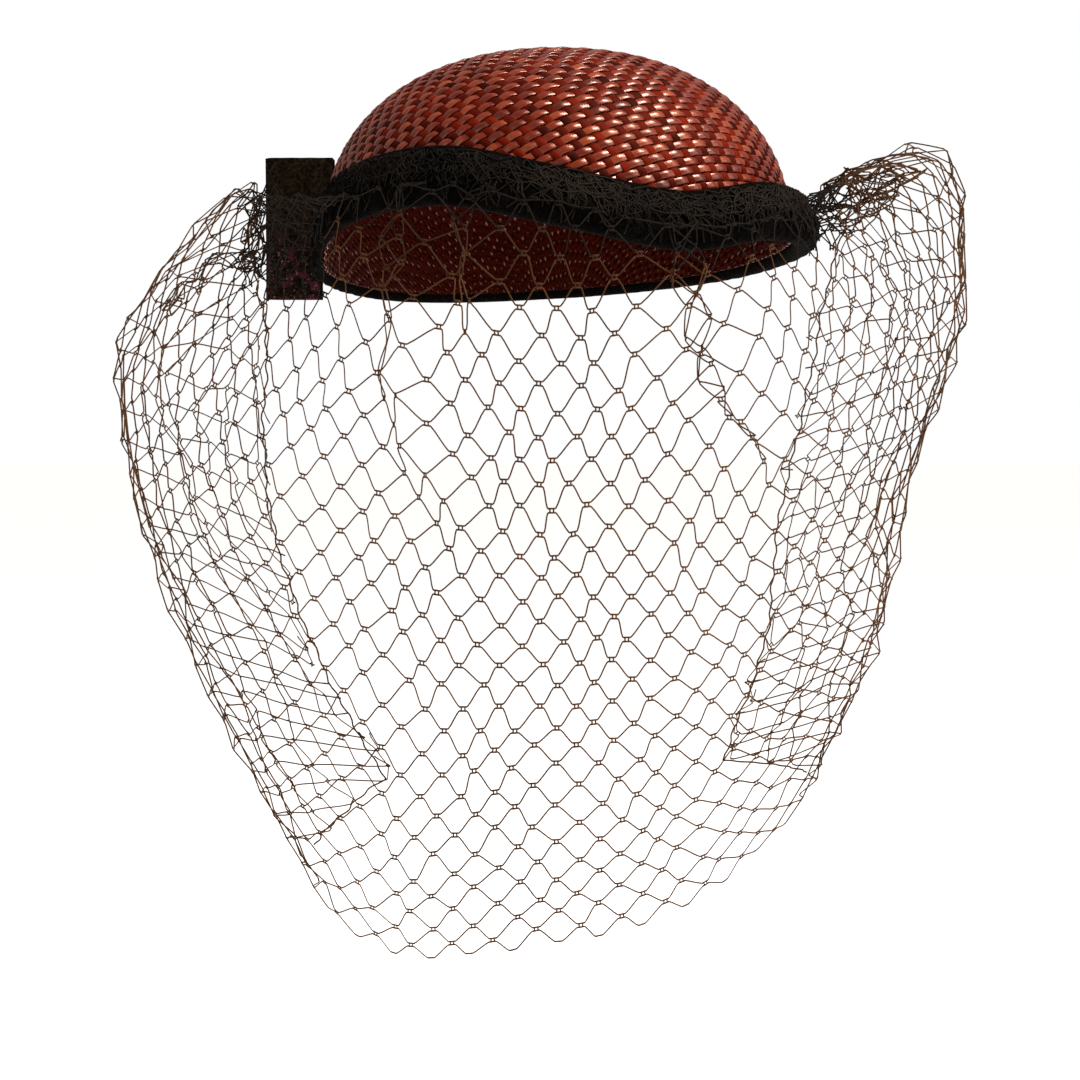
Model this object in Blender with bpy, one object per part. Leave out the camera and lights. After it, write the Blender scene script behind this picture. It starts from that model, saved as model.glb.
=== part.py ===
"""Cocktail hat: a woven straw crown, a rolled velvet band, a ribbon loop and a net veil.

Metres, +Z up. The origin is the middle of the head opening, where a head holds the hat.
-Y is the front, and +X is the wearer's left, which a viewer in front sees on the right.
Azimuths are in degrees round +Z, from +X, so the front is at -90.
"""
import math

import bmesh
import bpy
from mathutils import Vector

# Fit between pieces
CLEARANCE = 0.0003

# Crown
CROWN_WIDTH = 0.1545
CROWN_LENGTH = 0.1640
CROWN_RISE = 0.0570
CROWN_SEAT = 0.008
CROWN_WALL = 0.0018
CROWN_TUCK = 0.003
CROWN_SHOULDER_POWER = 2.3
CROWN_ROUNDNESS_POWER = 2.0

# Band
BAND_HEIGHT = 0.0183
BAND_THICKNESS = 0.0082
BAND_SWING = 0.010

# Side loop
LOOP_REACH = 0.0190
LOOP_HEIGHT = 0.0475
LOOP_TOP = 0.0316
LOOP_WALL = 0.0016
LOOP_DEPTH = 0.010
LOOP_SETBACK = 0.022

# Veil
VEIL_DROP = 0.235
VEIL_REACH = 0.067
VEIL_WALL = 0.0012
VEIL_BAR = 0.0068
VEIL_HEADER = 0.0176
VEIL_CLUSTER_REACH = 0.0180
VEIL_CELLS_ROUND = 13
VEIL_HALF_ROWS = 10
VEIL_LEAST_GAP_SHARE = 0.35

# Facets
RING_SEGMENTS = 64
CROWN_RINGS = 11
LOOP_BEND_SEGMENTS = 8

# The band's lower edge: azimuth, height as a share of BAND_SWING
EDGE_LINE = (
    (-180, -1.00),
    (-160, -0.05),
    (-140, 0.58),
    (-115, 0.80),
    (-90, 0.13),
    (-63, -0.53),
    (-36, -0.06),
    (0, -0.15),
    (45, -0.80),
    (90, -1.30),
    (135, -1.50),
    (180, -1.00),
)

# The band's thickness: azimuth, share of BAND_THICKNESS
BAND_FULLNESS = (
    (-180, 0.28),
    (-140, 0.70),
    (-100, 1.00),
    (0, 1.00),
    (90, 0.95),
    (150, 0.50),
    (180, 0.28),
)

# The band's section: distance out from the crown as a share of the band's thickness there,
# height above its lower edge as a share of BAND_HEIGHT
BAND_SECTION = (
    (0.00, 0.10),
    (0.00, 0.93),
    (0.14, 1.00),
    (0.34, 0.95),
    (0.62, 0.70),
    (0.92, 0.44),
    (1.00, 0.26),
    (0.88, 0.08),
    (0.52, 0.00),
    (0.16, 0.02),
)

# Where the veil's columns leave the band: place across the veil, azimuth, height above the
# band's lower edge as a share of BAND_HEIGHT
VEIL_GATHERS = (
    (0.000, -188, 1.20),
    (0.120, -183, 1.00),
    (0.150, -180, 0.80),
    (0.200, -172, 0.55),
    (0.285, -150, 0.45),
    (0.360, -117, 0.45),
    (0.405, -114, 0.45),
    (0.430, -105, 0.45),
    (0.475, -102, 0.45),
    (0.600, -66, 0.45),
    (0.650, -62, 0.45),
    (0.760, -22, 0.60),
    (0.820, -6, 0.85),
    (1.000, 10, 0.95),
)

# Where the same columns hang once they are free of the band: place, azimuth
VEIL_SPREAD = (
    (0.00, -225),
    (0.20, -180),
    (0.50, -90),
    (0.80, 0),
    (1.00, 45),
)

# The veil's free form by rows from top to hem. Each "out" is the distance beyond the band as
# a share of VEIL_REACH. Each "drop" is a height as a share of VEIL_DROP.
VEIL_COLUMNS = (
    "fall", "front_out", "front_drop", "right_out", "right_drop", "left_out", "left_drop",
    "rear_out", "rear_right_drop", "rear_left_drop",
)
VEIL_ROWS = (
    (0.00, 0.000, 0.040, 0.00, 0.072, 0.00, 0.051, 0.00, 0.051, 0.051),
    (0.10, 0.030, -0.017, 0.08, 0.094, 0.29, 0.098, -0.21, 0.077, 0.060),
    (0.20, 0.075, -0.115, 0.36, 0.132, 0.47, 0.051, -0.28, 0.094, 0.017),
    (0.30, 0.105, -0.213, 0.62, 0.128, 0.68, -0.009, -0.25, 0.060, -0.043),
    (0.42, 0.134, -0.336, 0.73, -0.009, 0.89, -0.106, -0.16, -0.060, -0.145),
    (0.56, 0.150, -0.477, 0.60, -0.179, 0.94, -0.213, -0.13, -0.221, -0.281),
    (0.70, 0.105, -0.617, 0.40, -0.357, 0.82, -0.391, -0.19, -0.400, -0.443),
    (0.85, 0.000, -0.770, 0.30, -0.540, 0.47, -0.617, -0.31, -0.570, -0.621),
    (1.00, -0.164, -0.912, -0.04, -0.745, 0.02, -0.851, -0.55, -0.749, -0.774),
)

# How far the hem hangs below the rows: azimuth, share of VEIL_DROP
HEM_LINE = (
    (-230, 0.000),
    (-180, -0.005),
    (-155, -0.035),
    (-125, -0.062),
    (-105, -0.024),
    (-85, 0.000),
    (50, 0.000),
)

# Soft folds in the veil: place across it, half-width, depth as a share of VEIL_REACH,
# fall where the fold is deepest
VEIL_FOLDS = (
    (0.045, 0.030, -0.060, 0.50),
    (0.115, 0.035, 0.070, 0.45),
    (0.185, 0.035, -0.080, 0.62),
    (0.255, 0.035, 0.040, 0.72),
    (0.760, 0.030, -0.050, 0.55),
    (0.830, 0.030, 0.060, 0.40),
    (0.900, 0.035, -0.070, 0.55),
    (0.960, 0.030, 0.050, 0.60),
)


def clear_scene():
    """Remove every object that the file opened with."""
    for item in list(bpy.data.objects):
        bpy.data.objects.remove(item, do_unlink=True)


def smooth(value):
    """A soft step from 0 to 1."""
    value = min(max(value, 0.0), 1.0)
    return value * value * (3.0 - 2.0 * value)


def linear(table, column, place):
    """Read a column of a table by straight lines between its rows."""
    for before, after in zip(table, table[1:]):
        if place <= after[0]:
            share = (place - before[0]) / (after[0] - before[0])
            return before[column] + max(share, 0.0) * (after[column] - before[column])
    return table[-1][column]


def curved(table, column, place):
    """Read a column of a table by a smooth curve through its rows."""
    place = min(max(place, table[0][0]), table[-1][0])
    last = len(table) - 1
    index = 0
    while index < last - 1 and place > table[index + 1][0]:
        index += 1

    def slope(row):
        low = table[max(row - 1, 0)]
        high = table[min(row + 1, last)]
        return (high[column] - low[column]) / (high[0] - low[0])

    before, after = table[index], table[index + 1]
    span = after[0] - before[0]
    t = (place - before[0]) / span
    return ((2 * t ** 3 - 3 * t ** 2 + 1) * before[column]
            + (t ** 3 - 2 * t ** 2 + t) * span * slope(index)
            + (3 * t ** 2 - 2 * t ** 3) * after[column]
            + (t ** 3 - t ** 2) * span * slope(index + 1))


def wrapped(azimuth):
    """Bring an azimuth between -180 and 180 degrees."""
    return (azimuth + 180.0) % 360.0 - 180.0


def edge_height(azimuth):
    """Height of the band's lower edge."""
    return BAND_SWING * curved(EDGE_LINE, 1, wrapped(azimuth))


def band_thickness(azimuth):
    """How far the band stands out from the crown."""
    return BAND_THICKNESS * curved(BAND_FULLNESS, 1, wrapped(azimuth))


def crown_share(height, rise):
    """The dome's plan size at a height above its seat, as a share of its widest."""
    level = min(max(height / rise, 0.0), 1.0)
    return (1.0 - level ** CROWN_ROUNDNESS_POWER) ** (1.0 / CROWN_SHOULDER_POWER)


def crown_ring(azimuth, climb, inset):
    """A point of the crown's outer face, or of its inner face when inset is the wall."""
    rise = CROWN_RISE - inset
    low = edge_height(azimuth) + CROWN_TUCK
    height = low + (CROWN_SEAT + rise - low) * math.sin(climb * math.pi / 2.0)
    share = crown_share(height - CROWN_SEAT, rise)
    angle = math.radians(azimuth)
    return Vector((
        (CROWN_WIDTH / 2.0 - inset) * share * math.cos(angle),
        (CROWN_LENGTH / 2.0 - inset) * share * math.sin(angle),
        height,
    ))


def band_point(azimuth, out, up):
    """A point of the band's skin, by its section's two shares."""
    reach = CLEARANCE + band_thickness(azimuth) * out
    angle = math.radians(azimuth)
    return Vector((
        (CROWN_WIDTH / 2.0 + reach) * math.cos(angle),
        (CROWN_LENGTH / 2.0 + reach) * math.sin(angle),
        edge_height(azimuth) + BAND_HEIGHT * up,
    ))


def ring_azimuths():
    """The azimuths of a closed ring's facets."""
    return [360.0 * step / RING_SEGMENTS - 180.0 for step in range(RING_SEGMENTS)]


def material(name, colour, roughness):
    """A plain principled material."""
    made = bpy.data.materials.new(name)
    made.use_nodes = True
    shader = made.node_tree.nodes["Principled BSDF"]
    shader.inputs["Base Color"].default_value = (*colour, 1.0)
    shader.inputs["Roughness"].default_value = roughness
    shader.inputs["Metallic"].default_value = 0.0
    return made


def add_object(name, mesh_data, finish):
    """Put a bmesh into the scene as a named object."""
    bmesh.ops.recalc_face_normals(mesh_data, faces=mesh_data.faces)
    mesh = bpy.data.meshes.new(name)
    mesh_data.to_mesh(mesh)
    mesh_data.free()
    mesh.materials.append(finish)
    mesh.shade_smooth()
    mesh.set_sharp_from_angle(angle=math.radians(40.0))
    item = bpy.data.objects.new(name, mesh)
    bpy.context.collection.objects.link(item)
    return item


def join_rings(mesh_data, rings, closed):
    """Fill quads between neighbouring rings of vertices."""
    count = len(rings[0])
    steps = count if closed else count - 1
    for near, far in zip(rings, rings[1:]):
        for step in range(steps):
            other = (step + 1) % count
            mesh_data.faces.new((near[step], near[other], far[other], far[step]))


def make_crown():
    """The hollow straw dome, from its inner top down, round its edge and up outside."""
    data = bmesh.new()
    climbs = [step / CROWN_RINGS for step in range(CROWN_RINGS)]
    path = [(climb, CROWN_WALL) for climb in reversed(climbs)] + [(climb, 0.0) for climb in climbs]
    rings = [[data.verts.new(crown_ring(azimuth, climb, inset)) for azimuth in ring_azimuths()]
             for climb, inset in path]
    join_rings(data, rings, True)
    for ring, inset in ((rings[0], CROWN_WALL), (rings[-1], 0.0)):
        top = data.verts.new((0.0, 0.0, CROWN_SEAT + CROWN_RISE - inset))
        for step in range(RING_SEGMENTS):
            data.faces.new((ring[step], ring[(step + 1) % RING_SEGMENTS], top))
    return add_object("crown", data, material("straw_red_brown", (0.16, 0.04, 0.02), 0.4))


def make_band():
    """The rolled velvet edge, a closed ring."""
    data = bmesh.new()
    rings = [[data.verts.new(band_point(azimuth, out, up)) for out, up in BAND_SECTION]
             for azimuth in ring_azimuths()]
    join_rings(data, rings + rings[:1], True)
    return add_object("band", data, material("velvet_black", (0.008, 0.006, 0.005), 0.9))


def loop_outline(depth, outer_end, inner_end):
    """Plan of one face of the loop: a round fold at the outer end, square at the inner end."""
    radius = depth / 2.0
    points = [(inner_end, LOOP_SETBACK - radius)]
    for step in range(LOOP_BEND_SEGMENTS + 1):
        angle = math.radians(-90.0 - 180.0 * step / LOOP_BEND_SEGMENTS)
        points.append((outer_end + radius + radius * math.cos(angle),
                       LOOP_SETBACK + radius * math.sin(angle)))
    points.append((inner_end, LOOP_SETBACK + radius))
    return points


def loop_seat():
    """Where the loop's inner end stops, clear of the widest part of the band beside it."""
    widest = 0.0
    for azimuth in range(135, 181):
        point = band_point(azimuth, 1.0, 0.0)
        if abs(point.y - LOOP_SETBACK) < LOOP_DEPTH:
            widest = min(widest, point.x)
    return widest - CLEARANCE


def make_side_loop():
    """The flat ribbon loop, open at its top and bottom."""
    data = bmesh.new()
    seat = loop_seat()
    outer_end = -(CROWN_WIDTH / 2.0 + CLEARANCE + band_thickness(180.0) + LOOP_REACH)
    outside = loop_outline(LOOP_DEPTH, outer_end, seat)
    inside = loop_outline(LOOP_DEPTH - 2.0 * LOOP_WALL, outer_end + LOOP_WALL, seat - LOOP_WALL)
    rings = []
    for plan, height in ((outside, LOOP_TOP), (outside, LOOP_TOP - LOOP_HEIGHT),
                         (inside, LOOP_TOP - LOOP_HEIGHT), (inside, LOOP_TOP)):
        rings.append([data.verts.new((x, y, height)) for x, y in plan])
    join_rings(data, rings + rings[:1], True)
    return add_object("side_loop", data, material("velvet_loop", (0.010, 0.006, 0.006), 0.85))


def fold_depth(place, fall):
    """How far the veil's soft folds push it out at a point."""
    depth = 0.0
    for centre, half_width, share, deepest in VEIL_FOLDS:
        across = math.exp(-((place - centre) / half_width) ** 2)
        down = smooth(fall / deepest) if fall < deepest else 1.0 - 0.5 * smooth((fall - deepest) / 0.5)
        depth += share * across * down
    return VEIL_REACH * depth


def veil_point(place, fall):
    """A point of the veil: place runs from its left end to its right end, fall from top to hem."""
    row = {name: curved(VEIL_ROWS, column, fall) for column, name in enumerate(VEIL_COLUMNS)}
    free = smooth(fall / 0.45)
    azimuth = (1.0 - free) * linear(VEIL_GATHERS, 1, place) + free * linear(VEIL_SPREAD, 1, place)
    angle = math.radians(azimuth)
    east, north = math.cos(angle), math.sin(angle)
    side = "right" if east > 0.0 else "left"

    stand = 2.0 * CLEARANCE + VEIL_WALL / 2.0 + band_thickness(azimuth)
    out = VEIL_REACH * row[side + "_out"] + fold_depth(place, fall)
    front = VEIL_REACH * row["front_out" if north < 0.0 else "rear_out"] + fold_depth(place, fall)
    half_width = CROWN_WIDTH / 2.0 + stand + out
    half_length = CROWN_LENGTH / 2.0 + stand + front
    if side == "left":
        step_out = smooth((-azimuth - 180.0) / 4.0) * (1.0 - smooth(fall / 0.12))
        half_width += VEIL_CLUSTER_REACH * step_out

    if north < 0.0:
        share = north ** 2
        drop = row["front_drop"] * share + row[side + "_drop"] * (1.0 - share)
    else:
        share = 2.0 * north ** 2
        drop = row["rear_" + side + "_drop"] * share + row[side + "_drop"] * (1.0 - share)
    drop += linear(HEM_LINE, 1, azimuth) * smooth((fall - 0.45) / 0.55)
    attached = edge_height(azimuth) + BAND_HEIGHT * linear(VEIL_GATHERS, 2, place)
    height = attached + (VEIL_DROP * drop - attached) * smooth(fall / 0.15)
    return Vector((half_width * east, half_length * north, height))


def veil_vertex(data, found, column, row):
    """The shared vertex at a lattice place, in quarter columns and half steps of a row."""
    if (column, row) not in found:
        place = column / (4.0 * VEIL_CELLS_ROUND)
        header = VEIL_HEADER / VEIL_DROP
        if row < 0:
            fall = header * (1.0 + row / 2.0)
        else:
            fall = header + (1.0 - header) * row / (2.0 * VEIL_HALF_ROWS)
        found[column, row] = data.verts.new(veil_point(place, fall))
    return found[column, row]


def add_gap(data, outline):
    """Fill a diamond with the half-bars round its gap, which stays open."""
    middle = sum((corner.co for corner in outline), Vector()) / len(outline)
    reach = min((corner.co - middle).length for corner in outline)
    keep = max(1.0 - VEIL_BAR / 2.0 / reach, VEIL_LEAST_GAP_SHARE)
    inner = [data.verts.new(middle + (corner.co - middle) * keep) for corner in outline]
    count = len(outline)
    for step in range(count):
        other = (step + 1) % count
        data.faces.new((outline[step], outline[other], inner[other], inner[step]))


def make_veil():
    """The net veil: a plain header along the band, then rows of diamond gaps down to the hem."""
    data = bmesh.new()
    found = {}
    last_column = 4 * VEIL_CELLS_ROUND

    for row in (-2, -1):
        for column in range(0, last_column, 2):
            corners = ((column, row), (column + 2, row), (column + 2, row + 1), (column, row + 1))
            data.faces.new([veil_vertex(data, found, *corner) for corner in corners])
    for column in range(0, last_column, 4):
        corners = ((0, 0), (2, 0), (4, 0), (3, 1), (2, 2), (1, 1))
        data.faces.new([veil_vertex(data, found, column + east, row) for east, row in corners])

    diamond = ((0, -2), (1, -1), (2, 0), (1, 1), (0, 2), (-1, 1), (-2, 0), (-1, -1))
    for row in range(1, VEIL_HALF_ROWS):
        first = 4 if row % 2 else 2
        for column in range(first, last_column - 1, 4):
            outline = [veil_vertex(data, found, column + east, 2 * row + down) for east, down in diamond]
            add_gap(data, outline)

    bmesh.ops.triangulate(data, faces=data.faces)
    item = add_object("veil", data, material("net_brown", (0.03, 0.018, 0.012), 0.8))
    wall = item.modifiers.new("wall", "SOLIDIFY")
    wall.thickness = VEIL_WALL
    wall.offset = 0.0
    wall.use_even_offset = True
    return item


def main():
    clear_scene()
    make_crown()
    make_band()
    make_side_loop()
    make_veil()


main()
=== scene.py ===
import math

import bpy
import numpy as np
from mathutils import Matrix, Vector


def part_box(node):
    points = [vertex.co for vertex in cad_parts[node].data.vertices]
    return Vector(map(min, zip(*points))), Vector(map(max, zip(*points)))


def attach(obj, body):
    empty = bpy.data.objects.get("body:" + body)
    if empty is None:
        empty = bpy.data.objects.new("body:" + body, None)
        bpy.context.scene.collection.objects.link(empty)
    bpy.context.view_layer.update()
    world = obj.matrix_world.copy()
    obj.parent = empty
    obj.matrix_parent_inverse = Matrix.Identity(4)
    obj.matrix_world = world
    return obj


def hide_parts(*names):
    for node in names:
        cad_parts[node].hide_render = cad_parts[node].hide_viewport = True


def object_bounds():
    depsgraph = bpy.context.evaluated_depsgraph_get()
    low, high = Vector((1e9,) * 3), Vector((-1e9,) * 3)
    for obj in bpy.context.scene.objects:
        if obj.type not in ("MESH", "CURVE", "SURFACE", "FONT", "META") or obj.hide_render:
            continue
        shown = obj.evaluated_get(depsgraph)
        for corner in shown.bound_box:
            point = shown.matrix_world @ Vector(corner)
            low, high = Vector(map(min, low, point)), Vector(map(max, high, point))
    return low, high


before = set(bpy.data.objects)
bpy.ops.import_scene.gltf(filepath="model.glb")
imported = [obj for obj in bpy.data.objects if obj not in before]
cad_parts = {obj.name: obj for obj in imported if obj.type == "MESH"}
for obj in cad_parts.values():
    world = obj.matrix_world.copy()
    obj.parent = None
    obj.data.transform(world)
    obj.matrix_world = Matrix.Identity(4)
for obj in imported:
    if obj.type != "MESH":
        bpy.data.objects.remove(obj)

CAD_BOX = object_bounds()

# Sizes taken from the frame, the level at which the dome starts, and the powers of its curves
CROWN_LOW, CROWN_HIGH = (np.array(corner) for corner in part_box("crown"))
LOOP_LOW, LOOP_HIGH = (np.array(corner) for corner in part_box("side_loop"))
HALF_WIDTH = (CROWN_HIGH[0] - CROWN_LOW[0]) / 2.0
HALF_LENGTH = (CROWN_HIGH[1] - CROWN_LOW[1]) / 2.0
CROWN_TOP = CROWN_HIGH[2]
SEAT = 0.008
RISE = CROWN_TOP - SEAT
SHOULDER_POWER = 2.3
ROUNDNESS_POWER = 2.0

# Band: its swing is the unit of its wavy lower edge
BAND_HEIGHT = 0.0183
BAND_THICKNESS = 0.0082
BAND_SWING = 0.010
CLEARANCE = 0.0003

BAND_LUMPS = 25
LUMP_LIMIT = 0.0006

# Ribbon loop: above the band it reaches in to the crown
LOOP_TUCK = 0.0042
LOOP_TUCK_LEVEL = 0.0125
LOOP_WALL = 0.0014
LOOP_GAP = 0.0002
LOOP_BOW = 0.0006
LOOP_RIPPLE = 0.0003
# Heights above the loop's foot between which its painted purple sheen and painted glints fade in
PLUM_SHEEN_TOP = 0.024
PLUM_SHEEN_BOTTOM = 0.012

# Straw weave: two families of strips, laid as flat cloth whose middle is tilted to the front
WARP_PITCH = 0.0035
WEFT_PITCH = 0.0038
WARP_ANGLE = math.radians(33.0)
WEFT_ANGLE = math.radians(128.0)
WARP_FILL = 0.95
WEFT_FILL = 0.92
STRAW_LIFT = 0.00030
STRAW_BACK = 0.00075
STRAW_TILT = 0.00014
WEFT_SINK = 0.70
ARCH_GAIN = 1.35
CELL_STEPS = 3
FIBRE_SHIFT = 0.37
CLOTH_RADIUS = 0.071
CLOTH_TILT = math.radians(38.0)

# How far the crown goes on below the dome's rim, and how it opens to meet the band there
SKIRT = math.radians(24.0)
CROWN_TUCK = 0.003
FLARE = 0.00045
FLARE_LEVEL = 0.8
FLARE_BLEND = 0.004

# The dark ground behind the strips: its near-black tone is painted shade seen through the gaps
GROUND_GAP = 0.00063
GROUND_SHADE_TONE = 0.03

# How bright the strips are, from 0 to 1, and how far one float differs from the next. The weft's lower
# range is painted shade on the sunken family
WARP_TONE = (0.36, 0.62)
WEFT_SHADED_TONE = (0.08, 0.34)
FLOAT_TONE = 0.20

# Straw colours by tone, and the tint of its gloss
STRAW_TONES = (
    (0.00, (0.022, 0.0010, 0.0002)), (0.45, (0.115, 0.0068, 0.0010)),
    (0.80, (0.230, 0.0400, 0.0110)), (1.00, (0.420, 0.1500, 0.0650)),
)
STRAW_TINT = (1.0, 0.60, 0.40, 1.0)

# A strip's section: share of its half width, height over its middle, share of its tone, which is lower at
# the edges and zero underneath as painted shade
STRIP_SECTION = np.array((
    (-1.00, -0.00034, 0.30), (-0.72, 0.00000, 1.00), (0.00, 0.00014, 1.00),
    (0.72, 0.00000, 1.00), (1.00, -0.00034, 0.30), (0.00, -0.00036, 0.00),
))

# Threads, and the small ladder of bars and ties that stands for a knot
TUBE_SIDES = 4
CURVE_POINTS = 5
BAR_POINTS = 3
TIE_POINTS = 2
TIE_PLACES = (-0.45, 0.45)
THREAD_RADIUS = 0.00024
THREAD_BOW = 0.18
KNOT_HALF_WIDTH = 0.00120
KNOT_HALF_HEIGHT = 0.00062

# Net: half rows below and above its gathered edge, columns to each side of the front, the share of
# its depth that counts as width when it is laid flat, and the row from which it is drawn to the hem
NET_HALF_ROWS = 34
NET_TOP_ROWS = 6
NET_SIDE_COLUMNS = 38
DEPTH_SHARE = 0.75
HEM_FROM_ROW = 14.0
EDGE_STEPS = 130
FRONT = -90.0

# Veil: how far it hangs, how far it stands out, and the step out beside its left rear edge
VEIL_DROP = 0.235
VEIL_REACH = 0.067
VEIL_WALL = 0.0012
VEIL_CLUSTER_REACH = 0.0180
CLUSTER_FALL = 0.12
GATHER_FALL = 0.15
HEM_FALL = 0.45

# The band's lower edge: azimuth, height as a share of BAND_SWING
EDGE_LINE = np.array((
    (-180, -1.00), (-160, -0.05), (-140, 0.58), (-115, 0.80), (-90, 0.13), (-63, -0.53),
    (-36, -0.06), (0, -0.15), (45, -0.80), (90, -1.30), (135, -1.50), (180, -1.00),
))

# The band's thickness: azimuth, share of BAND_THICKNESS
BAND_FULLNESS = np.array((
    (-180, 0.28), (-140, 0.70), (-100, 1.00), (0, 1.00), (90, 0.95), (150, 0.50), (180, 0.28),
))

# The band's section: share of its thickness outwards, share of its height upwards
BAND_SECTION = np.array((
    (0.00, 0.10), (0.00, 0.93), (0.14, 1.00), (0.34, 0.95), (0.62, 0.70), (0.92, 0.44),
    (1.00, 0.26), (0.88, 0.08), (0.52, 0.00), (0.16, 0.02),
))

# The veil's form: out as shares of VEIL_REACH, drop as shares of VEIL_DROP
VEIL_COLUMNS = (
    "fall", "front_out", "front_drop", "right_out", "right_drop", "left_out", "left_drop",
    "rear_out", "rear_right_drop", "rear_left_drop",
)
VEIL_ROWS = np.array((
    (0.00, 0.000, 0.040, 0.00, 0.072, 0.00, 0.051, 0.00, 0.051, 0.051),
    (0.10, 0.030, -0.017, 0.08, 0.094, 0.29, 0.098, -0.21, 0.077, 0.060),
    (0.20, 0.075, -0.115, 0.36, 0.132, 0.47, 0.051, -0.28, 0.094, 0.017),
    (0.30, 0.105, -0.213, 0.62, 0.128, 0.68, -0.009, -0.25, 0.060, -0.043),
    (0.42, 0.134, -0.336, 0.73, -0.009, 0.89, -0.106, -0.16, -0.060, -0.145),
    (0.56, 0.150, -0.477, 0.60, -0.179, 0.94, -0.213, -0.13, -0.221, -0.281),
    (0.70, 0.105, -0.617, 0.40, -0.357, 0.82, -0.391, -0.19, -0.400, -0.443),
    (0.85, 0.000, -0.770, 0.30, -0.540, 0.47, -0.617, -0.31, -0.570, -0.621),
    (1.00, -0.164, -0.912, -0.04, -0.745, 0.02, -0.851, -0.55, -0.749, -0.774),
))

# How far the hem dips: azimuth, share of VEIL_DROP
HEM_LINE = np.array((
    (-230, 0.000), (-180, -0.005), (-155, -0.035), (-125, -0.062), (-105, -0.024), (-85, 0.000),
    (50, 0.000),
))

# Where the net's gathered top edge lies: azimuth, height above the band's lower edge as a
# share of BAND_HEIGHT
GATHER_LINE = np.array((
    (-226, 1.10), (-189, 1.10), (-180, 0.50), (-165, 0.35), (-30, 0.35), (-8, 0.70), (47, 1.00),
))

# How a thread of the net runs: knots from the front's middle, degrees below level, mm a mesh side
THREAD_RUN = np.array((
    (-40, 90, 9.0), (-9, 90, 9.0), (-4, 74, 9.3), (0, 57, 9.7), (3, 54, 9.2), (6, 53, 8.6),
    (9, 48, 8.5), (13, 44, 8.4), (17, 39, 8.4), (21, 25, 8.6), (26, 10, 8.9), (40, 7, 9.0),
))

# The veil's two rear edges start at these azimuths, and turn this far towards the back by the
# time that they hang free
REAR_LEFT = -189.0
REAR_RIGHT = 10.0
REAR_TURN = 36.0
REAR_TURN_FALL = 0.45

# Where the net's form is sampled, and how far from it a knot may lie
TABLE_FROM = -226.0
TABLE_TO = 47.0
TABLE_TURN = 0.75
TABLE_FALLS = 200
KNOT_REACH = 0.0018
KNOT_SLIDE = 0.006

# Soft waves of the hanging net, as size, turn for each degree of azimuth and turn for the whole
# fall: sideways in degrees, downwards as shares of the fall, and outwards in the wings
NET_SWAY = ((0.30, 0.19, 21.0), (0.25, 0.31, -13.0))
NET_SLIP = ((0.0020, 0.23, 9.0),)
WING_WAVES = ((0.0022, 0.21, 14.0), (0.0014, 0.13, -31.0))

# Scatter of the knots: everywhere, more of it in the wings, beside the gathers and in the folds
NET_WOBBLE = 0.00055
WING_WOBBLE = 0.8
ROOT_TANGLE = 0.0034
FOLD_SCATTER = 0.9
FOLD_LIFT = 0.0028

# Tight folds under the gathers, in which the net doubles over: azimuth, fall, half-width in
# degrees and how strongly the net is drawn in, at places down each fold
NET_FOLDS = (
    ((-105.8, 0.00, 4.2, 2.4), (-105.2, 0.12, 4.0, 2.3), (-103.5, 0.25, 3.0, 0.0)),
    ((-119.5, 0.00, 4.6, 2.2), (-117.5, 0.12, 4.2, 2.1), (-112.5, 0.30, 3.6, 1.6),
     (-108.5, 0.42, 3.6, 0.8), (-98.0, 0.52, 4.0, 0.0)),
    ((-63.8, 0.00, 6.6, 2.4), (-67.5, 0.14, 6.4, 2.4), (-71.0, 0.29, 5.2, 1.8),
     (-65.0, 0.42, 4.0, 0.8), (-59.0, 0.50, 4.0, 0.0)),
)

# Crumpled net where the wings are gathered: columns and half rows of each bunch, then x, y, z and
# half-width in mm at places along it
NET_BUNCHES = (
    (4, 8, ((82, -4, 14, 3), (92, -4, 16, 5), (104, -4, 20, 6), (119, -4, 25, 4))),
    (4, 8, ((82, 0, 12, 5), (92, 2, 14, 9), (103, 2, 17, 9), (113, 0, 22, 6))),
    (3, 7, ((83, -8, 5, 4), (91, -10, 9, 6), (101, -10, 13, 5), (111, -8, 18, 3))),
    (5, 4, ((-93, -4, 14, 13), (-97, -6, 9, 12), (-102, -6, 5, 7))),
    (5, 5, ((-93, 4, -1, 9), (-98, 2, -3, 8), (-105, 0, -6, 4))),
    (2, 9, ((-98, -6, -3, 3), (-113, -12, -6, 2), (-129, -6, -20, 1))),
)
BUNCH_SCATTER = np.array((0.0013, 0.0026, 0.0013))
BUNCH_SEED = 61

# The gathered net over the band, between two azimuths
HEADER_FROM = -186.0
HEADER_TO = 14.0

# Its loose strands: count, top and bottom as shares of the band's height, lift, seed
HEADER_STRANDS = (
    (330, 0.93, 0.60, 0.0008, 31), (330, 0.92, 0.42, 0.0011, 32), (120, 0.86, 0.16, 0.0006, 33),
)

# Its threads along the band: share of the band's height, seed. They wander up and down by a share
# of that height, and stand off the band by a lift that varies
HEADER_THREADS = ((0.93, 41), (0.86, 42), (0.76, 43), (0.66, 44), (0.58, 45))
HEADER_WANDER = 0.035
HEADER_LIFT = 0.0009
HEADER_LIFT_SWING = 0.0005

# Lights: name, direction, distance, size, power, colour
LIGHTS = (
    ("key", (0.47, -0.28, 0.84), 1.3, 0.42, 34.0, (1.0, 0.93, 0.86)),
    ("side", (0.95, -0.35, 0.25), 1.4, 0.8, 7.0, (1.0, 0.95, 0.92)),
    ("fill", (-0.7, -0.8, 0.3), 1.6, 1.0, 4.0, (1.0, 0.97, 0.94)),
)


def smooth(value):
    """A soft step from 0 to 1."""
    value = np.clip(value, 0.0, 1.0)
    return value * value * (3.0 - 2.0 * value)


def linear(table, column, place):
    """Read a column of a table by straight lines."""
    return np.interp(place, table[:, 0], table[:, column])


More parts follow.
